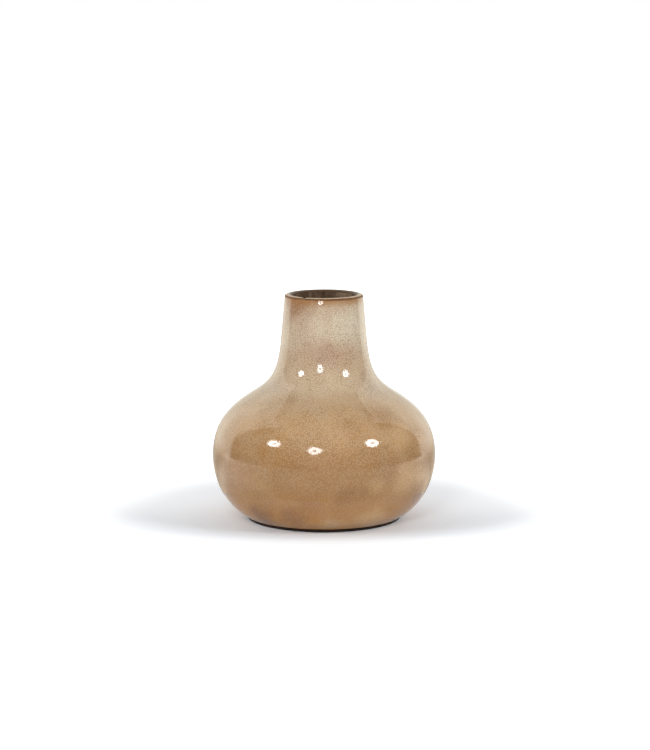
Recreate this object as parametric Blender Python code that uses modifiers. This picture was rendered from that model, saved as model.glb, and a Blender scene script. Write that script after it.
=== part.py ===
"""Ceramic bud vase: a squat, round belly that runs up into a tall, slightly tapering neck.

It is built as such a round vase is made. Two thrown bowls are luted rim to rim at the belly, the neck
is luted on at the shoulder, and the foot ring is turned and left bare. A tan coat covers the outside, a
thin brown one the lip, a dark liner the inside, and another the recess under the floor.

Run it with blender --background --python part.py. Metres, +Z up. The origin is on the standing plane,
on the vase's own axis.
"""

import math

import bpy
from mathutils import Vector

MM = 0.001

# Driving dimensions, in millimetres.
HEIGHT = 150.0
LIP_RISE = 1.5
LIP_WALL = 4.7
BASE_WALL = 6.0
GLAZE = 0.7
GAP = 0.3

# The outside of the vase, as stations that one smooth curve runs through:
# radius, height, heading of the curve in degrees, and its handle before and after the station.
GLAZE_EDGE = (52.4, 2.4, 29.2, 0.0, 21.1)
BELLY = (74.0, 42.0, 90.0, 8.25, 29.0)
SHOULDER = (42.2, 87.9, 144.0, 15.5, 18.2)
LIP = (26.0, HEIGHT - LIP_RISE, 96.0, 34.0, 0.0)
SPAN_PIECES = (7, 8, 9)
LIP_PIECES = 6
FLOOR_PIECES = 6

# The inside: the wall follows the outside down to this many points from the glaze edge,
# and from there the floor runs in to the axis.
FLOOR_TURN = 2
FLOOR_HEIGHT = 8.6
FLOOR_HANDLES = (9.0, 26.0)

# The foot: a ring under the flat clay floor, with a shallow recess inside it.
CLAY_UNDERSIDE = 4.4
FOOT_TOP_RADII = (40.6, 51.6)
FOOT_BOTTOM_RADII = (42.0, 50.4)
FOOT_EASING = 0.8
RECESS_RADIUS = 40.0

AROUND = 40
MERGE = 0.00001

COLLECTION = "ceramic_bud_vase"


def clear_scene():
    for obj in list(bpy.data.objects):
        bpy.data.objects.remove(obj)


def heading(degrees):
    angle = math.radians(degrees)
    return Vector((math.cos(angle), math.sin(angle)))


def bezier(start, start_handle, end_handle, end, pieces):
    """Points of a cubic curve from start up to, but not including, end."""
    points = []
    for i in range(pieces):
        t = i / pieces
        points.append(
            start * (1 - t) ** 3
            + start_handle * 3 * t * (1 - t) ** 2
            + end_handle * 3 * t**2 * (1 - t)
            + end * t**3
        )
    return points


def outside():
    """The outer skin, from the glaze edge above the foot up to the lip."""
    stations = (GLAZE_EDGE, BELLY, SHOULDER, LIP)
    points = []
    for low, high, pieces in zip(stations, stations[1:], SPAN_PIECES):
        start, end = Vector(low[:2]), Vector(high[:2])
        start_handle = start + heading(low[2]) * low[4]
        end_handle = end - heading(high[2]) * high[3]
        points += bezier(start, start_handle, end_handle, end, pieces)
    return points + [Vector(LIP[:2])]


def lip():
    """The rounded lip, half an ellipse across the wall, without its two ends."""
    middle = Vector((LIP[0] - LIP_WALL / 2, LIP[1]))
    points = []
    for i in range(1, LIP_PIECES):
        angle = math.pi * i / LIP_PIECES
        across = LIP_WALL / 2 * math.cos(angle)
        points.append(middle + Vector((across, LIP_RISE * math.sin(angle))))
    return points


def offset(points, depths):
    """The line moved by its own depth at each point, to the left of the way it runs."""
    moved = []
    for i, point in enumerate(points):
        before = points[max(i - 1, 0)]
        after = points[min(i + 1, len(points) - 1)]
        along = (after - before).normalized()
        if point.x == 0:
            along = Vector((math.copysign(1, along.x), 0))
        moved.append(point + Vector((-along.y, along.x)) * depths[i])
    return moved


def inside(outer):
    """The inner skin, from the lip down the wall and along the floor to the axis."""
    walls = [BASE_WALL + (LIP_WALL - BASE_WALL) * p.y / HEIGHT for p in outer]
    wall = offset(outer, walls)[FLOOR_TURN:]
    wall[-1] = Vector((LIP[0] - LIP_WALL, LIP[1]))
    wall.reverse()
    turn, centre = wall[-1], Vector((0, FLOOR_HEIGHT))
    down = (turn - wall[-2]).normalized()
    floor = bezier(
        turn,
        turn + down * FLOOR_HANDLES[0],
        centre + Vector((FLOOR_HANDLES[1], 0)),
        centre,
        FLOOR_PIECES,
    )
    return wall[:-1] + floor + [centre]


def without_ends(points, first, last):
    """The line with its two ends drawn in by half a gap each, where asked."""
    short = list(points)
    if first:
        short[0] = points[0] + (points[1] - points[0]).normalized() * GAP / 2
    if last:
        short[-1] = points[-1] + (points[-2] - points[-1]).normalized() * GAP / 2
    return short


def coat(skin, first, last, meets_before, meets_after):
    """The outline of a glaze coat on this stretch of the skin, drawn in where it meets another coat."""
    under = offset(skin, [GLAZE] * len(skin))
    upper = without_ends(skin[first : last + 1], meets_before, meets_after)
    lower = without_ends(under[first : last + 1], meets_before, meets_after)
    return upper[::-1] + lower


def new_material(name, color, roughness):
    material = bpy.data.materials.new(name)
    material.use_nodes = True
    shader = material.node_tree.nodes["Principled BSDF"]
    shader.inputs["Base Color"].default_value = (*color, 1)
    shader.inputs["Roughness"].default_value = roughness
    shader.inputs["Metallic"].default_value = 0
    return material


def place(obj, collection, axis, material):
    for owner in obj.users_collection:
        owner.objects.unlink(obj)
    collection.objects.link(obj)
    obj.parent = axis
    obj.data.materials.append(material)
    return obj


def turned(name, outline, closed, collection, axis, material):
    """A solid turned about Z from an outline that comes down its outer side."""
    count = len(outline)
    edges = [(i, i + 1) for i in range(count - 1)]
    if closed:
        edges.append((count - 1, 0))
    mesh = bpy.data.meshes.new(name)
    mesh.from_pydata([(p.x * MM, 0, p.y * MM) for p in outline], edges, [])
    obj = bpy.data.objects.new(name, mesh)
    screw = obj.modifiers.new("turn", "SCREW")
    screw.axis = "Z"
    screw.angle = math.tau
    screw.steps = AROUND
    screw.render_steps = AROUND
    screw.use_merge_vertices = True
    screw.merge_threshold = MERGE
    screw.use_smooth_shade = True
    return place(obj, collection, axis, material)


def clay_walls(skin, collection, axis, material):
    """The three thrown walls, which meet at the belly and at the shoulder."""
    depth = GLAZE + GAP
    clay = offset(skin, [depth] * len(skin))
    belly = SPAN_PIECES[0]
    shoulder = belly + SPAN_PIECES[1]
    floor_turn = len(skin) - 1 - FLOOR_PIECES
    inner_belly = floor_turn - (belly - FLOOR_TURN)
    inner_shoulder = floor_turn - (shoulder - FLOOR_TURN)

    neck = without_ends(clay[shoulder : inner_shoulder + 1], True, True)
    turned("neck_wall", neck[::-1], True, collection, axis, material)

    outer = without_ends(clay[belly : shoulder + 1], True, True)
    inner = without_ends(clay[inner_shoulder : inner_belly + 1], True, True)
    turned("upper_belly", inner[::-1] + outer[::-1], True, collection, axis, material)

    foot_corner = Vector((clay[0].x, CLAY_UNDERSIDE))
    outer = without_ends([foot_corner] + clay[1 : belly + 1], False, True)
    inner = without_ends(clay[inner_belly:], True, False)
    bowl = inner[::-1] + outer[::-1] + [Vector((0, CLAY_UNDERSIDE))]
    turned("lower_belly", bowl, False, collection, axis, material)


def foot_ring(collection, axis, material):
    """The bare ring that the vase stands on, its edges eased where it was turned."""
    top = CLAY_UNDERSIDE - GAP
    outline = [
        Vector((FOOT_TOP_RADII[0], top)),
        Vector((FOOT_TOP_RADII[1], top)),
        Vector((FOOT_BOTTOM_RADII[1] + FOOT_EASING, FOOT_EASING)),
        Vector((FOOT_BOTTOM_RADII[1], 0)),
        Vector((FOOT_BOTTOM_RADII[0], 0)),
        Vector((FOOT_BOTTOM_RADII[0] - FOOT_EASING, FOOT_EASING)),
    ]
    turned("foot_ring", outline, True, collection, axis, material)


def build():
    clear_scene()
    collection = bpy.data.collections.new(COLLECTION)
    bpy.context.scene.collection.children.link(collection)
    axis = bpy.data.objects.new("vase_axis", None)
    collection.objects.link(axis)

    stoneware = new_material("stoneware", (0.105, 0.062, 0.038), 0.85)
    tan_glaze = new_material("tan_glaze", (0.45, 0.31, 0.19), 0.12)
    lip_glaze = new_material("lip_glaze", (0.27, 0.145, 0.075), 0.2)
    liner_glaze = new_material("liner_glaze", (0.085, 0.052, 0.034), 0.15)

    outer, over, inner = outside(), lip(), inside(outside())
    skin = outer + over + inner
    lip_start, lip_end = len(outer) - 1, len(outer) + len(over)
    tan_coat = coat(skin, 0, lip_start, False, True)
    lip_coat = coat(skin, lip_start, lip_end, True, True)
    liner_coat = coat(skin, lip_end, len(skin) - 1, True, False)
    turned("outer_glaze", tan_coat, True, collection, axis, tan_glaze)
    turned("lip_glaze", lip_coat, True, collection, axis, lip_glaze)
    turned("inner_glaze", liner_coat, False, collection, axis, liner_glaze)

    clay_walls(skin, collection, axis, stoneware)
    foot_ring(collection, axis, stoneware)

    recess_top = CLAY_UNDERSIDE - GAP
    recess = [
        Vector((0, recess_top)),
        Vector((RECESS_RADIUS, recess_top)),
        Vector((RECESS_RADIUS, recess_top - GLAZE)),
        Vector((0, recess_top - GLAZE)),
    ]
    turned("underside_glaze", recess, False, collection, axis, liner_glaze)


build()
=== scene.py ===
"""The looks of the ceramic bud vase.

Each turned CAD node gives its own outline, which is read from its mesh, smoothed, and turned again at a
fine step. All the pieces share one gentle unevenness, so that they stay as far apart as the CAD has them.
Metres, +Z up, in the row frame.
"""

import math

import bmesh
import bpy
import numpy as np
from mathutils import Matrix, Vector, noise


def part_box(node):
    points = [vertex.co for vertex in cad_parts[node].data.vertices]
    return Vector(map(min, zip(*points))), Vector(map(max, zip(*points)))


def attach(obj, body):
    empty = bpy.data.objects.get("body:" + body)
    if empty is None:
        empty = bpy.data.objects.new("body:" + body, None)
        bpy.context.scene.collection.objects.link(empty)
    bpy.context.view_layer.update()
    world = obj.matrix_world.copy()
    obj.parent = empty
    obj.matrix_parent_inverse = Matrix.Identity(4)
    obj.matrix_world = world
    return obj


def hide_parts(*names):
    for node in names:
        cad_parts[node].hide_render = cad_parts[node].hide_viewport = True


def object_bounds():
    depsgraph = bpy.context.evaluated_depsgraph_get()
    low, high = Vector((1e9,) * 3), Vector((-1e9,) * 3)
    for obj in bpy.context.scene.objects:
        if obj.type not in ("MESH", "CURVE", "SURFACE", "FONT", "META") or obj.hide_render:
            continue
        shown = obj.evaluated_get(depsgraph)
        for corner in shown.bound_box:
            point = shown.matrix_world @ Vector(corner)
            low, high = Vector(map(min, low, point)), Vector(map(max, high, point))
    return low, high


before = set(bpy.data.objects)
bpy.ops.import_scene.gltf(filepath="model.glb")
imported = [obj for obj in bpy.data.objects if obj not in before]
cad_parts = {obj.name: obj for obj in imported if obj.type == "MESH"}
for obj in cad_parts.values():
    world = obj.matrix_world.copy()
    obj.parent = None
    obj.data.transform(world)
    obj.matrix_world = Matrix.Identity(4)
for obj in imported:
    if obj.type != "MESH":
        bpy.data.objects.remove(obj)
cad_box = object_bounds()

MM = 0.001
HEIGHT = cad_box[1].z
BELLY_RADIUS = cad_box[1].x
LIP_TOP, LIP_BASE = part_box("lip_glaze")[1].z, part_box("lip_glaze")[0].z
LIP_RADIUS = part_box("lip_glaze")[1].x
LIP_EDGE = LIP_TOP - 1.0 * MM


# ---------------------------------------------------------------- outlines


def outline_of(node):
    """The node's outline in the half-plane y = 0, x >= 0: its (radius, height) points and if it closes."""
    mesh = bmesh.new()
    mesh.from_mesh(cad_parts[node].data)
    bmesh.ops.remove_doubles(mesh, verts=mesh.verts, dist=1e-6)
    flat = {v for v in mesh.verts if abs(v.co.y) < 1e-6 and v.co.x > -1e-6}
    near = {v: [e.other_vert(v) for e in v.link_edges if e.other_vert(v) in flat] for v in flat}
    ends = [v for v in flat if len(near[v]) == 1]
    start = max(ends or flat, key=lambda v: (v.co.z, v.co.x))
    chain, last = [start], None
    while True:
        onward = [v for v in near[chain[-1]] if v is not last]
        if not onward or onward[0] is start:
            break
        last = chain[-1]
        chain.append(onward[0])
    points = np.array([(v.co.x, v.co.z) for v in chain])
    mesh.free()
    return points, not ends


def tangents(points, closed, sharp):
    """The direction in which the line reaches and leaves each point; they differ at a sharp corner."""
    ahead = np.roll(points, -1, axis=0) - points
    length = np.linalg.norm(ahead, axis=1, keepdims=True)
    ahead = ahead / np.maximum(length, 1e-12)
    behind, behind_length = np.roll(ahead, 1, axis=0), np.roll(length, 1, axis=0)
    smooth = ahead * behind_length + behind * length
    smooth /= np.maximum(np.linalg.norm(smooth, axis=1, keepdims=True), 1e-12)
    corner = (ahead * behind).sum(axis=1) < math.cos(sharp)
    if not closed:
        corner[[0, -1]] = False
        smooth[0] = np.sign(ahead[0, 0]), 0
        smooth[-1] = np.sign(behind[-1, 0]), 0
    reach, leave = smooth.copy(), smooth.copy()
    reach[corner], leave[corner] = behind[corner], ahead[corner]
    return reach, leave


def smoothed(points, closed, step, sharp=math.radians(50)):
    """The outline as a smooth line through its own points, in steps of about this length."""
    reach, leave = tangents(points, closed, sharp)
    line = []
    for i in range(len(points) - (not closed)):
        j = (i + 1) % len(points)
        a, b = points[i], points[j]
        span = np.linalg.norm(b - a)
        count = max(1, round(span / step))
        t = (np.arange(count) / count)[:, None]
        line.append(
            (2 * t**3 - 3 * t**2 + 1) * a
            + (t**3 - 2 * t**2 + t) * span * leave[i]
            + (3 * t**2 - 2 * t**3) * b
            + (t**3 - t**2) * span * reach[j]
        )
    if not closed:
        line.append(points[-1:])
    return np.vstack(line)


def eased(points, closed, radius, sharp=math.radians(20), cuts=4):
    """The outline with each corner rounded off."""
    line = []
    count = len(points)
    for i in range(count):
        before, here, after = points[i - 1], points[i], points[(i + 1) % count]
        if not closed and i in (0, count - 1):
            line.append(here)
            continue
        back, on = before - here, after - here
        back_length, on_length = np.linalg.norm(back), np.linalg.norm(on)
        turn = math.acos(np.clip(-(back @ on) / (back_length * on_length), -1, 1))
        if turn < sharp:
            line.append(here)
            continue
        reach = min(radius * math.tan(turn / 2), 0.45 * back_length, 0.45 * on_length)
        start, end = here + back / back_length * reach, here + on / on_length * reach
        for k in range(cuts + 1):
            t = k / cuts
            line.append(start * (1 - t) ** 2 + here * 2 * t * (1 - t) + end * t**2)
    return np.array(line)


# ---------------------------------------------------------------- hand-made unevenness

# Size of each wave as a share of the belly's radius, and how far it stands out in millimetres.
WAVES = ((0.9, 0.06), (0.32, 0.05), (0.11, 0.02))
WAVES_START = Vector((3.1, 1.7, 5.3))
# How far the lip dips on average, from nothing to twice as far, and how long its waves are.
LIP_WAVER, LIP_WAVE = 0.1 * MM, 14 * MM
NICK = {"azimuth": math.radians(-33), "width": 1.5 * MM, "depth": 0.6 * MM}
DRIP = {
    "azimuth": math.radians(-5),
    "height": LIP_BASE - 3.5 * MM,
    "across": 14.0 * MM,
    "down": 3.4 * MM,
    "proud": 0.65 * MM,
}


def bell(distance, width):
    return math.exp(-((distance / width) ** 2))


def uneven(point):
    """Where a point of the true turned shape ends up on the hand-made one."""
    radius = math.hypot(point.x, point.y)
    if radius < 1e-6:
        return point
    azimuth = math.atan2(point.x, -point.y)
    out = 0
    for share, proud in WAVES:
        wave = noise.noise(point / (share * BELLY_RADIUS) + WAVES_START)
        out += proud * MM * wave * min(1, point.z / (6 * MM))
    around = (azimuth - DRIP["azimuth"]) * radius
    out += DRIP["proud"] * bell(around, DRIP["across"]) * bell(point.z - DRIP["height"], DRIP["down"])
    up = 0
    if point.z > LIP_BASE:
        nick = bell((azimuth - NICK["azimuth"]) * radius, NICK["width"])
        up = -LIP_WAVER * (1 + noise.noise(point / LIP_WAVE)) - NICK["depth"] * nick
    return Vector((point.x * (1 + out / radius), point.y * (1 + out / radius), point.z + up))


# ---------------------------------------------------------------- turned pieces


def turn(name, line, closed, around):
    """A solid turned about Z from an outline, with a single point where the outline meets the axis."""
    angles = np.arange(around) / around * math.tau
    points, rings = [], []
    for radius, height in line:
        if radius < 1e-6:
            rings.append([len(points)] * around)
            points.append((0, 0, height))
            continue
        rings.append(range(len(points), len(points) + around))
        points += [(radius * math.cos(a), radius * math.sin(a), height) for a in angles]
    faces = []
    for i in range(len(rings) - (not closed)):
        low, high = rings[i], rings[(i + 1) % len(rings)]
        for j in range(around):
            k = (j + 1) % around
            corners = (low[j], low[k], high[k], high[j])
            faces.append(tuple(dict.fromkeys(corners)))
    mesh = bpy.data.meshes.new(name)
    mesh.from_pydata([uneven(Vector(p)) for p in points], [], faces)
    shape = bmesh.new()
    shape.from_mesh(mesh)
    bmesh.ops.recalc_face_normals(shape, faces=shape.faces)
    shape.to_mesh(mesh)
    shape.free()
    mesh.shade_smooth()
    piece = bpy.data.objects.new(name, mesh)
    bpy.context.scene.collection.objects.link(piece)
    return piece


def remake(node, name, step, around, easing=None):
    """The fine piece that stands for a turned CAD node."""
    points, closed = outline_of(node)
    line = eased(points, closed, easing) if easing else smoothed(points, closed, step)
    piece = turn(name, line, closed, around)
    piece.data.set_sharp_from_angle(angle=math.radians(40))
    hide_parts(node)
    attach(piece, "root")
    return piece


# ---------------------------------------------------------------- materials


class Nodes:
    """A short way to write a material's node tree."""

    def __init__(self, name):
        self.material = bpy.data.materials.new(name)
        self.material.use_nodes = True
        self.tree = self.material.node_tree
        self.shader = self.tree.nodes["Principled BSDF"]

    def add(self, kind, inputs=None, **settings):
        node = self.tree.nodes.new(kind)
        for key, value in settings.items():
            setattr(node, key, value)
        for key, value in (inputs or {}).items():
            self.put(node.inputs[key], value)
        return node

    def put(self, socket, value):
        if isinstance(value, bpy.types.NodeSocket):
            self.tree.links.new(value, socket)
        else:
            socket.default_value = value

    def place(self):
        return self.add("ShaderNodeTexCoord").outputs["Object"]

    def along(self, axis, place):
        return self.add("ShaderNodeSeparateXYZ", {"Vector": place}).outputs[axis]

    def math(self, operation, a, b):
        node = self.add("ShaderNodeMath", operation=operation)
        self.put(node.inputs[0], a)
        self.put(node.inputs[1], b)
        return node.outputs[0]

    def move(self, operation, a, b=(0, 0, 0)):
        node = self.add("ShaderNodeVectorMath", operation=operation)
        self.put(node.inputs[0], a)
        self.put(node.inputs[1], b)
        return node.outputs["Value" if operation in ("DISTANCE", "LENGTH") else "Vector"]

    def spread(self, value, low, high, to_low=0.0, to_high=1.0):
        """The value's way from low to high, eased at both ends, as a way from to_low to to_high."""
        node = self.add("ShaderNodeMapRange", interpolation_type="SMOOTHSTEP")
        for key, item in zip(("Value", "From Min", "From Max", "To Min", "To Max"),
                             (value, low, high, to_low, to_high)):
            self.put(node.inputs[key], item)
        return node.outputs["Result"]

    def noise(self, place, scale, detail=3.0, roughness=0.5, distortion=0.0):
        inputs = {"Vector": place, "Scale": scale, "Detail": detail, "Roughness": roughness,
                  "Distortion": distortion}
        return self.add("ShaderNodeTexNoise", inputs)

    def sway(self, noise, reach):
        """The noise as a length that goes half of the reach each way from 0."""
        return self.math("MULTIPLY", self.math("SUBTRACT", noise, 0.5), reach)

    def cells(self, place, scale, feature="F1"):
        node = self.add("ShaderNodeTexVoronoi", {"Vector": place, "Scale": scale}, feature=feature)
        return node.outputs["Distance"]

    def mix(self, share, a, b):
        node = self.add("ShaderNodeMix", data_type="RGBA")
        self.put(node.inputs[0], share)
        for socket, color in zip(node.inputs[6:8], (a, b)):
            self.put(socket, (*color, 1) if isinstance(color, tuple) else color)
        return node.outputs[2]

    def ramp(self, value, stops, interpolation="EASE"):
        node = self.add("ShaderNodeValToRGB", {"Fac": value})
        node.color_ramp.interpolation = interpolation
        elements = node.color_ramp.elements
        while len(elements) < len(stops):
            elements.new(0.5)
        for element, (position, color) in zip(elements, stops):
            element.position, element.color = position, (*color, 1)
        return node.outputs["Color"]

    def bump(self, height, distance, strength=1.0, normal=None):
        inputs = {"Height": height, "Distance": distance, "Strength": strength}
        if normal is not None:
            inputs["Normal"] = normal
        return self.add("ShaderNodeBump", inputs).outputs["Normal"]


CREAM, ROSE = (0.51, 0.45, 0.345), (0.33, 0.22, 0.155)
HONEY, AMBER, UMBER = (0.5, 0.315, 0.15), (0.3, 0.15, 0.045), (0.205, 0.09, 0.032)
# The reach of the noise that shifts the clouds along X, Y and Z, and how far from a cloud's middle it starts
# and stops fading, as shares of its size.
CLOUD_STIR = (0.03, 0.03, 0.02)
CLOUD_FADE = (0.25, 1.25)
# Clouds in the glaze's colour, each over the ones before it: azimuth from the front in degrees, height and
# size in millimetres, strength and tint. The front's come first, then the back's. Besides the kiln's clouds
# they hold painted light and shade for light that falls more strongly from the right: darker low on the
# left and lighter low on the right.
GLAZE_CLOUDS_AND_PAINTED_LIGHT = (
    (2, 113, 12, 0.75, ROSE),
    (34, 113, 12, 0.22, ROSE),
    (56, 92, 11, 0.45, ROSE),
    (-55, 93, 11, 0.35, ROSE),
    (-17, 113, 11, 0.4, ROSE),
    (72, 128, 22, 0.6, CREAM),
    (-50, 122, 14, 0.35, CREAM),
    (-8, 130, 10, 0.5, CREAM),
    (33, 131, 15, 0.75, CREAM),
    (-50, 141, 15, 0.8, ROSE),
    (-40, 146, 12, 0.8, UMBER),
    (44, 76, 16, 0.8, AMBER),
    (16, 71, 12, 0.35, AMBER),
    (50, 71, 9, 0.5, AMBER),
    (44, 62, 12, 0.5, HONEY),
    (61, 54, 10, 0.4, HONEY),
    (74, 33, 11, 0.45, HONEY),
    (-38, 81, 13, 0.45, AMBER),
    (-28, 56, 14, 0.65, AMBER),
    (-34, 68, 13, 0.4, AMBER),
    (20, 54, 12, 0.35, AMBER),
    (46, 37, 13, 0.35, HONEY),
    (-36, 30, 13, 0.2, HONEY),
    (38, 26, 14, 0.1, HONEY),
    (25, 31, 8, 0.3, HONEY),
    (59, 34, 9, 0.4, HONEY),
    (-62, 37, 16, 0.85, UMBER),
    (-45, 38, 12, 0.3, UMBER),
    (66, 40, 14, 0.55, UMBER),
    (14, 27, 11, 0.45, UMBER),
    (-34, 20, 11, 0.35, UMBER),
    (-8, 21, 11, 0.35, UMBER),
    (-42, 10, 11, 0.85, UMBER),
    (-20, 12, 12, 0.7, UMBER),
    (6, 6, 11, 0.6, HONEY),
    (20, 9, 8, 0.3, HONEY),
    (32, 10, 13, 0.75, HONEY),
    (62, 22, 12, 0.4, UMBER),
    (-85, 45, 24, 0.3, UMBER),
    (100, 66, 24, 0.4, CREAM),
    (105, 25, 18, 0.5, UMBER),
    (135, 125, 18, 0.7, CREAM),
    (-115, 112, 16, 0.6, ROSE),
    (-140, 62, 26, 0.5, HONEY),
    (165, 36, 22, 0.6, UMBER),
    (-160, 100, 18, 0.5, CREAM),
    (-115, 26, 18, 0.5, HONEY),
)
# The body colour at a share of the height, which noise moves up and down by half of TONE_DRIFT.
TONE_DRIFT = 0.1
TONES = (
    (0.05, (0.41, 0.188, 0.044)),
    (0.19, (0.282, 0.147, 0.059)),
    (0.3, (0.26, 0.135, 0.052)),
    (0.45, (0.4, 0.24, 0.115)),
    (0.52, (0.43, 0.275, 0.14)),
    (0.62, (0.465, 0.353, 0.235)),
    (0.76, (0.39, 0.277, 0.178)),
    (0.93, (0.39, 0.3, 0.208)),
)
# The crackle: its cells to a metre, how far its lines wander, and the tints of a line and inside a cell.
CRACKLE_SCALE, CRACKLE_WANDER = 820, 0.5 * MM
CRACK, HEART = (0.16, 0.085, 0.04), (0.72, 0.58, 0.42)
# The rust colour under the lip, and how far down it reaches and how ragged its edge is.
RUST = (0.25, 0.12, 0.045)
RUST_REACH, RUST_RAGGED = 6.5 * MM, 2.5 * MM
# Bands of the lip, from the top down: the crest, the dark line and the rust below it; and, inwards from the
# lip's outer edge, where the outside ends and the dark inner side starts.
LIP_CREST, LIP_LINE, LIP_BELOW = (0.2 * MM, 0.6 * MM), (0.4 * MM, 0.75 * MM), (1.0 * MM, 1.3 * MM)
LIP_OUTSIDE, LIP_INSIDE = (-2.4 * MM, -1.8 * MM), (-2.9 * MM, -2.1 * MM)
LIP_RAGGED = 0.7 * MM
# How far below the lip's top the liner starts and stops getting darker: painted shade deeper inside the
# neck.
LINER_PAINTED_SHADE = (9.0 * MM, 1.5 * MM)


def with_clouds_and_painted_light(n, place, color):
    """The colour with the clouds over it: the kiln's, and painted light and shade."""
    stirred = n.noise(place, 38, 3, 0.6).outputs["Color"]
    stirred = n.move("SUBTRACT", stirred, (0.5, 0.5, 0.5))
    at = n.move("ADD", place, n.move("MULTIPLY", stirred, CLOUD_STIR))
    start, end = CLOUD_FADE
    # Painted light and shade among the clouds: some darken the lower left and lighten the lower right.
    for azimuth, height, size, strength, tint in GLAZE_CLOUDS_AND_PAINTED_LIGHT:
        centre = towards(azimuth) * radius_at(height * MM) + Vector((0, 0, height * MM))
        gap = n.move("DISTANCE", at, centre)
        cover = n.spread(gap, start * size * MM, end * size * MM, strength, 0.0)
        color = n.mix(cover, color, tint)
    return color


def radius_at(height):
    """The vase's outer radius at a height."""
    points = outline_of("outer_glaze")[0]
    return max(r for r, z in points if abs(z - height) <= min(abs(points[:, 1] - height)) + 1e-3)


def tan_glaze():
    """The outside's gloss coat: tones by height, clouds with painted light and shade among them, milky
    mottling, crackle and a rusty top edge.
    """
    n = Nodes("tan_glaze")
    place = n.place()
    height = n.along("Z", place)
    drift = n.noise(place, 22, 4, 0.55).outputs["Fac"]
    share = n.math("ADD", n.math("DIVIDE", height, HEIGHT), n.sway(drift, TONE_DRIFT))
    color = with_clouds_and_painted_light(n, place, n.ramp(share, TONES, "LINEAR"))
    mottle = n.noise(place, 95, 5, 0.6).outputs["Fac"]
    milky = n.spread(mottle, 0.35, 0.75, 0.0, 0.16)
    milky = n.math("MULTIPLY", milky, n.spread(share, 0.2, 0.5, 0.3, 1.0))
    color = n.mix(milky, color, CREAM)

    # The crackle: a net of fine stained lines, with paler glass inside each cell.
    wander = n.move("MULTIPLY", n.noise(place, 900, 2).outputs["Color"], (CRACKLE_WANDER,) * 3)
    warped = n.move("ADD", place, wander)
    line = n.spread(n.cells(warped, CRACKLE_SCALE, "DISTANCE_TO_EDGE"), 0.0, 0.2, 1.0, 0.0)
    crazed = n.spread(share, 0.13, 0.38, 0.55, 1.0)
    heart = n.spread(n.cells(warped, CRACKLE_SCALE), 0.1, 0.6, 0.16, 0.0)
    color = n.mix(n.math("MULTIPLY", heart, crazed), color, HEART)
    stain = n.spread(n.noise(place, 60, 2).outputs["Fac"], 0.3, 0.65, 0.25, 0.52)
    stain = n.math("MULTIPLY", n.math("MULTIPLY", line, stain), crazed)
    color = n.mix(stain, color, CRACK)

    # Where the glaze runs thin below the lip the iron under it shows through.
    ragged = n.noise(place, 420, 3).outputs["Fac"]
    edge = n.math("ADD", n.math("SUBTRACT", LIP_EDGE, height), n.sway(ragged, RUST_RAGGED))
    color = n.mix(n.spread(edge, 0.0, RUST_REACH, 0.9, 0.0), color, RUST)
    n.put(n.shader.inputs["Base Color"], color)

    n.put(n.shader.inputs["Roughness"], n.spread(mottle, 0.3, 0.75, 0.02, 0.045))
    n.shader.inputs["IOR"].default_value = 1.45
    peel = n.bump(n.noise(place, 210, 2, 0.4).outputs["Fac"], 0.013 * MM, 1.0)
    normal = n.bump(line, 0.005 * MM, 1.0, peel)
    n.put(n.shader.inputs["Normal"], normal)
    return n.material


def lip_glaze():
    """Thin brown glaze: darkest in a line round the lip's outer edge, and over the inner side."""
    n = Nodes("lip_glaze")
    place = n.place()
    radius = n.move("LENGTH", n.move("MULTIPLY", place, (1, 1, 0)))
    broken = n.noise(place, 300, 4, 0.6).outputs["Fac"]
    shift = n.sway(broken, LIP_RAGGED)
    out = n.math("ADD", n.math("SUBTRACT", radius, LIP_RADIUS), shift)
    down = n.math("ADD", n.math("SUBTRACT", LIP_TOP, n.along("Z", place)), n.math("MULTIPLY", shift, 0.35))

    outer = n.spread(out, *LIP_OUTSIDE)
    color = n.mix(n.spread(broken, 0.3, 0.7), (0.34, 0.2, 0.1), (0.5, 0.34, 0.21))
    color = n.mix(n.spread(out, *LIP_INSIDE, 1.0, 0.0), color, (0.09, 0.05, 0.027))
    color = n.mix(n.math("MULTIPLY", n.spread(down, *LIP_LINE), outer), color, (0.06, 0.022, 0.008))
    color = n.mix(n.math("MULTIPLY", n.spread(down, *LIP_BELOW), outer), color, RUST)
    n.put(n.shader.inputs["Base Color"], color)
    n.put(n.shader.inputs["Roughness"], n.spread(down, *LIP_CREST, 0.25, 0.45))
    n.shader.inputs["Specular IOR Level"].default_value = 0.2
    n.shader.inputs["IOR"].default_value = 1.5
    n.put(n.shader.inputs["Normal"], n.bump(broken, 0.03 * MM))
    return n.material


def liner_glaze():
    """The dark brown gloss of the inside, streaked downwards, and darker below the lip with painted shade.
    """
    n = Nodes("liner_glaze")
    place = n.place()
    stretched = n.move("MULTIPLY", place, (1, 1, 0.35))
    run = n.noise(stretched, 120, 4, 0.6, 0.4).outputs["Fac"]
    stops = ((0.35, (0.045, 0.024, 0.013)), (0.5, (0.12, 0.07, 0.038)), (0.66, (0.27, 0.18, 0.115)))
    fine = n.cells(place, 700, "DISTANCE_TO_EDGE")
    color = n.mix(n.spread(fine, 0.0, 0.1, 0.5, 0.0), n.ramp(run, stops), (0.03, 0.017, 0.01))
    low, high = (LIP_TOP - depth for depth in LINER_PAINTED_SHADE)
    # Painted shade: the inside darkens deeper down below the lip.
    color = n.mix(n.spread(n.along("Z", place), low, high, 0.65, 0.0), color, (0.03, 0.015, 0.007))
    n.put(n.shader.inputs["Base Color"], color)
    n.put(n.shader.inputs["Roughness"], n.spread(run, 0.3, 0.7, 0.42, 0.6))
    n.shader.inputs["Specular IOR Level"].default_value = 0.35
    n.shader.inputs["IOR"].default_value = 1.5
    n.put(n.shader.inputs["Normal"], n.bump(n.noise(place, 240, 2).outputs["Fac"], 0.06 * MM))
    return n.material


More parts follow.
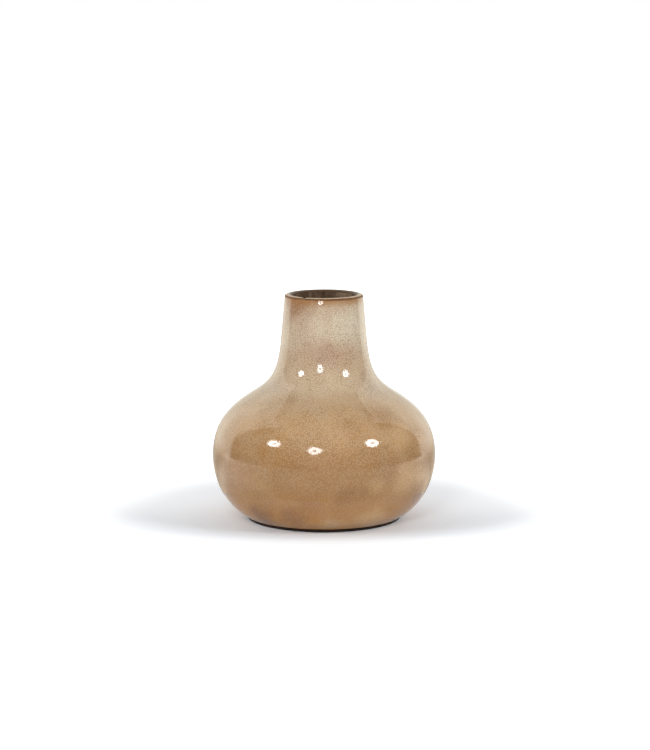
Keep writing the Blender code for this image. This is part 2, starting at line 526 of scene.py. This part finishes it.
def stoneware():
    """Bare fired clay, grainy and finely ringed from turning, near-black: partly the dark clay and partly
    painted shade of the gap under the foot.
    """
    n = Nodes("stoneware")
    place = n.place()
    grog = n.noise(place, 900, 5, 0.7).outputs["Fac"]
    body = n.noise(place, 70, 3).outputs["Fac"]
    # Near-black: the dark clay darkened further with painted shade of the gap under the foot.
    stops = ((0.3, (0.02, 0.01, 0.006)), (0.55, (0.03, 0.016, 0.01)), (0.8, (0.05, 0.028, 0.017)))
    grain = n.cells(place, 1100)
    color = n.mix(n.spread(grain, 0.0, 0.3, 0.4, 0.0), n.ramp(body, stops), (0.075, 0.045, 0.028))
    n.put(n.shader.inputs["Base Color"], color)
    n.put(n.shader.inputs["Roughness"], n.spread(grog, 0.3, 0.7, 0.75, 0.95))
    n.shader.inputs["Specular IOR Level"].default_value = 0.15
    rings = n.add("ShaderNodeTexWave", {"Vector": place, "Scale": 260, "Distortion": 1.5, "Detail": 2},
                  wave_type="RINGS", rings_direction="Z").outputs["Fac"]
    normal = n.bump(grog, 0.12 * MM, 1.0)
    n.put(n.shader.inputs["Normal"], n.bump(rings, 0.03 * MM, 0.6, normal))
    return n.material


# ---------------------------------------------------------------- the vase

PIECES = (
    # CAD node, piece, step along the outline, steps around, corner easing, record slot
    ("outer_glaze", "tan_coat", 1.4 * MM, 320, None, "tan_glaze"),
    ("lip_glaze", "lip_coat", 0.3 * MM, 400, None, "lip_glaze"),
    ("inner_glaze", "liner_coat", 2.0 * MM, 240, None, "liner_glaze"),
    ("underside_glaze", "recess_coat", 1.6 * MM, 200, 0.25 * MM, "liner_glaze"),
    ("lower_belly", "lower_clay", 3.0 * MM, 160, None, "stoneware"),
    ("upper_belly", "upper_clay", 3.0 * MM, 160, None, "stoneware"),
    ("neck_wall", "neck_clay", 2.5 * MM, 160, None, "stoneware"),
    ("foot_ring", "turned_foot", 0.5 * MM, 360, 0.5 * MM, "stoneware"),
)


def make_vase():
    finishes = {
        "tan_glaze": tan_glaze(),
        "lip_glaze": lip_glaze(),
        "liner_glaze": liner_glaze(),
        "stoneware": stoneware(),
    }
    for node, name, step, around, easing, slot in PIECES:
        piece = remake(node, name, step, around, easing)
        piece.data.materials.append(finishes[slot])


# ---------------------------------------------------------------- studio

# The camera's distance and elevation are seen from the waist, on the axis. It looks at the aim, which is
# higher and slightly to the side.
WAIST = 0.531 * HEIGHT
AIM, AIM_SIDE = 0.6372 * HEIGHT, 0.7 * MM
CAMERA_DISTANCE = 11.5 * HEIGHT
CAMERA_ELEVATION = math.radians(9.48)
LENS = 124.7

# Three umbrellas, flat rings of LAMP_EDGES sides that face the vase: azimuth from the front and elevation
# in degrees, share of the radiance, and height as a share of the width.
LAMPS = ((-57, 27.6, 1.15, 0.8), (-9.5, 23, 0.82, 1.0), (55.5, 28.7, 1.14, 1.0))
LAMP_DISTANCE = 0.9
LAMP_RADIUS = 0.103
LAMP_EDGES = 10
LAMP_RADIANCE = 29.2
HUB_RADIUS = 0.034

# What the glaze mirrors besides: a table all round the vase, the dark room ahead of it between two azimuths
# from the front, and a backdrop round the rest.
TABLE_RADII = (0.09, 0.62)
ROOM_SIDES = (-110, 115.5)
BEHIND_SIDES = (ROOM_SIDES[1], ROOM_SIDES[0] + 360)
FLOOR_RADIUS, FLOOR_EDGES = 12.0, 64
MIRROR_RISE = 0.2 * MM
RING_POINTS = 60
BACKDROP_RADIUS = 1.1
BACKDROP_POINTS = 40
# The backdrop's two edges, as azimuths from the front, at each height.
BACKDROP_EDGES = ((0.0, *ROOM_SIDES), (0.35, -111, 116), (1.8, -74, 95))

# Each brightness below changes from one place to another: the two places and its values there. How far back
# a place is goes from -1, straight ahead of the vase, to 1, straight behind it.
# The backdrop, by how far back.
BACKDROP_FALL = (0.76, 0.97, 1.85, 1.1)
# Factors of the mirrored table's brightness by how far back, and by the distance from the vase close to it
# and far from it. The last one's value far away has a change of its own, by how far back.
TABLE_BY_SIDE = ((-0.97, -0.15, 1.0, 2.1), (0.25, 0.65, 1.0, 0.37), (0.82, 0.97, 1.0, 0.6))
TABLE_CLOSE = (0.07, 0.16, 0.4, 1.0)
TABLE_FAR = (0.25, 0.65, 1.0)
TABLE_FAR_AWAY = (0.0, 0.4, 0.85, 1.9)
# The floor's own glow, painted light that keeps it white away from the vase and gives the shadow round the
# vase
# its edge: by the place along the way to the back, and by the distance from the vase, for which the way to
# the front counts twice.
NEAR_GLOW = (-0.08, 0.08, 0.0, 0.26)
FAR_GLOW = (0.15, 0.7, 0.0, 0.75)
ROUND_GLOW = (0.115, 0.17, 0.0, 0.25)


def emission(name, color, strength):
    material = bpy.data.materials.new(name)
    material.use_nodes = True
    tree = material.node_tree
    tree.nodes.remove(tree.nodes["Principled BSDF"])
    glow = tree.nodes.new("ShaderNodeEmission")
    glow.inputs["Color"].default_value = (*color, 1)
    glow.inputs["Strength"].default_value = strength
    tree.links.new(glow.outputs[0], tree.nodes["Material Output"].inputs["Surface"])
    return material


def glowing(name, color):
    """The nodes of a black surface that glows in this colour, with its strength still to be linked."""
    n = Nodes(name)
    n.shader.inputs["Emission Color"].default_value = (*color, 1)
    n.shader.inputs["Base Color"].default_value = (0, 0, 0, 1)
    n.shader.inputs["Specular IOR Level"].default_value = 0
    return n


def staged(name, mesh, material):
    """The object of the studio that this mesh makes."""
    data = bpy.data.meshes.new(name)
    mesh.to_mesh(data)
    mesh.free()
    data.materials.append(material)
    obj = bpy.data.objects.new(name, data)
    bpy.context.scene.collection.objects.link(obj)
    return obj


def disc(name, radius, hole, sides, material):
    """A flat ring, or a disc if the hole is 0, facing +Z."""
    mesh = bmesh.new()
    outer = [mesh.verts.new((radius * math.cos(a), radius * math.sin(a), 0))
             for a in np.arange(sides) / sides * math.tau]
    if hole:
        inner = [mesh.verts.new((v.co.x * hole / radius, v.co.y * hole / radius, 0)) for v in outer]
        for i in range(sides):
            j = (i + 1) % sides
            mesh.faces.new((outer[i], outer[j], inner[j], inner[i]))
    else:
        mesh.faces.new(outer)
    return staged(name, mesh, material)


def only_reflected(obj):
    """Let the object show in the glaze's reflections and nowhere else."""
    obj.visible_camera = obj.visible_diffuse = obj.visible_shadow = False
    obj.visible_transmission = obj.visible_volume_scatter = False


def towards(azimuth, elevation=0):
    """The direction at an azimuth from the front and an elevation, in degrees."""
    a, e = math.radians(azimuth), math.radians(elevation)
    return Vector((math.sin(a) * math.cos(e), -math.cos(a) * math.cos(e), math.sin(e)))


def make_floor():
    """A white table top, kept white from behind the vase to the horizon by painted light: it glows, less
    close to the vase.
    """
    n = Nodes("table_top")
    depth = n.along("Y", n.place())
    twice = n.math("ADD", depth, n.math("MINIMUM", depth, 0.0))
    spot = n.add("ShaderNodeCombineXYZ", {"X": n.along("X", n.place()), "Y": twice}).outputs[0]
    away = n.move("LENGTH", spot)
    # Painted light: the floor glows more away from the vase, which ends the shadow round it at an edge and
    # whitens it behind.
    glow = n.math("ADD", n.spread(away, *ROUND_GLOW), n.spread(away, *FAR_GLOW))
    glow = n.math("ADD", glow, n.spread(depth, *NEAR_GLOW))
    n.put(n.shader.inputs["Emission Strength"], glow)
    n.shader.inputs["Emission Color"].default_value = (1, 1, 1, 1)
    n.shader.inputs["Base Color"].default_value = (0.8, 0.83, 0.87, 1)
    n.shader.inputs["Roughness"].default_value = 0.9
    n.shader.inputs["Specular IOR Level"].default_value = 0.1
    disc("table_top", FLOOR_RADIUS, 0, FLOOR_EDGES, n.material)


def make_mirrored_floor():
    """What the glaze mirrors in place of the floor: the table, and the dim room ahead of it."""
    table = table_light()
    room = emission("room_in_reflection", (1, 0.97, 0.93), 0.1)
    edge = TABLE_RADII[1]
    ring_part("table_in_reflection", TABLE_RADII, (-180, 180), table)
    ring_part("table_behind_in_reflection", (edge, BACKDROP_RADIUS), BEHIND_SIDES, table)
    ring_part("room_in_reflection", (edge, FLOOR_RADIUS), ROOM_SIDES, room)


def table_light():
    """The mirrored table's light: bright at the sides, dimmer ahead of the vase, behind it and close by."""
    n = glowing("table_in_reflection", (1, 0.91, 0.75))
    away = n.move("LENGTH", n.place())
    back = n.math("DIVIDE", n.along("Y", n.place()), away)
    light = n.spread(away, *TABLE_CLOSE)
    for change in TABLE_BY_SIDE:
        light = n.math("MULTIPLY", light, n.spread(back, *change))
    far = n.spread(away, *TABLE_FAR, n.spread(back, *TABLE_FAR_AWAY))
    n.put(n.shader.inputs["Emission Strength"], n.math("MULTIPLY", light, far))
    return n.material


def ring_part(name, radii, sides, material):
    """A part of a flat ring just above the floor, between two azimuths from the front, only mirrored."""
    mesh = bmesh.new()
    inner, outer = (
        [mesh.verts.new(towards(a) * radius) for a in np.linspace(*sides, RING_POINTS)] for radius in radii
    )
    for i in range(RING_POINTS - 1):
        mesh.faces.new((inner[i], inner[i + 1], outer[i + 1], outer[i]))
    part = staged(name, mesh, material)
    part.location.z = MIRROR_RISE
    only_reflected(part)


def sheet_light():
    """A white sheet that glows, dimmer straight behind the vase: painted light, seen only as the pale
    reflections down the vase's sides.
    """
    n = glowing("backdrop_white", (1, 0.98, 0.87))
    flat = n.move("MULTIPLY", n.place(), (1, 1, 0))
    back = n.math("DIVIDE", n.along("Y", flat), n.move("LENGTH", flat))
    n.put(n.shader.inputs["Emission Strength"], n.spread(back, *BACKDROP_FALL))
    return n.material


def make_backdrop():
    """A white sheet round the back of the vase, which only shows as the pale bands down its sides."""
    mesh = bmesh.new()
    rows = []
    for height, left, right in BACKDROP_EDGES:
        rise = Vector((0, 0, height))
        azimuths = np.linspace(right, left + 360, BACKDROP_POINTS)
        rows.append([mesh.verts.new(towards(a) * BACKDROP_RADIUS + rise) for a in azimuths])
    for low, high in zip(rows, rows[1:]):
        for i in range(BACKDROP_POINTS - 1):
            mesh.faces.new((low[i], low[i + 1], high[i + 1], high[i]))
    only_reflected(staged("backdrop", mesh, sheet_light()))


def make_lamps():
    middle = Vector((0, 0, WAIST))
    for i, (azimuth, elevation, share, height) in enumerate(LAMPS):
        aim = towards(azimuth, elevation)
        glow = emission(f"umbrella_{i + 1}", (0.98, 0.985, 0.985), LAMP_RADIANCE * share)
        lamp = disc(f"umbrella_{i + 1}", LAMP_RADIUS, HUB_RADIUS, LAMP_EDGES, glow)
        lamp.scale.y = height
        lamp.location = middle + aim * LAMP_DISTANCE
        lamp.rotation_mode = "QUATERNION"
        lamp.rotation_quaternion = (-aim).to_track_quat("Z", "Y")
        lamp.visible_camera = False


def make_world():
    """White where the camera looks, dim in reflections, and an even soft fill for everything else."""
    world = bpy.data.worlds.new("studio")
    bpy.context.scene.world = world
    world.use_nodes = True
    tree = world.node_tree
    output = tree.nodes["World Output"]
    rays = tree.nodes.new("ShaderNodeLightPath")

    def light(color, strength):
        node = tree.nodes.new("ShaderNodeBackground")
        node.inputs["Color"].default_value = (*color, 1)
        node.inputs["Strength"].default_value = strength
        return node.outputs[0]

    def choose(share, a, b):
        node = tree.nodes.new("ShaderNodeMixShader")
        for socket, value in zip(node.inputs, (share, a, b)):
            tree.links.new(value, socket)
        return node.outputs[0]

    fill, room, white = light((1, 1, 1), 0.5), light((1, 0.97, 0.93), 0.14), light((1, 1, 1), 1.0)
    lit = choose(rays.outputs["Is Glossy Ray"], fill, room)
    tree.links.new(choose(rays.outputs["Is Camera Ray"], lit, white), output.inputs["Surface"])


def make_camera():
    data = bpy.data.cameras.new("camera")
    data.sensor_width, data.lens = 36.0, LENS
    data.clip_start, data.clip_end = 0.05, 50
    camera = bpy.data.objects.new("camera", data)
    bpy.context.scene.collection.objects.link(camera)
    e = CAMERA_ELEVATION
    back = Vector((0, -math.cos(e), math.sin(e)))
    camera.location = Vector((0, 0, WAIST)) + back * CAMERA_DISTANCE
    look = Vector((AIM_SIDE, 0, AIM)) - camera.location
    camera.rotation_mode = "QUATERNION"
    camera.rotation_quaternion = look.to_track_quat("-Z", "Y")
    bpy.context.scene.camera = camera


make_vase()
make_floor()
make_mirrored_floor()
make_backdrop()
make_lamps()
make_world()
make_camera()
bpy.context.scene.view_settings.view_transform = "Standard"
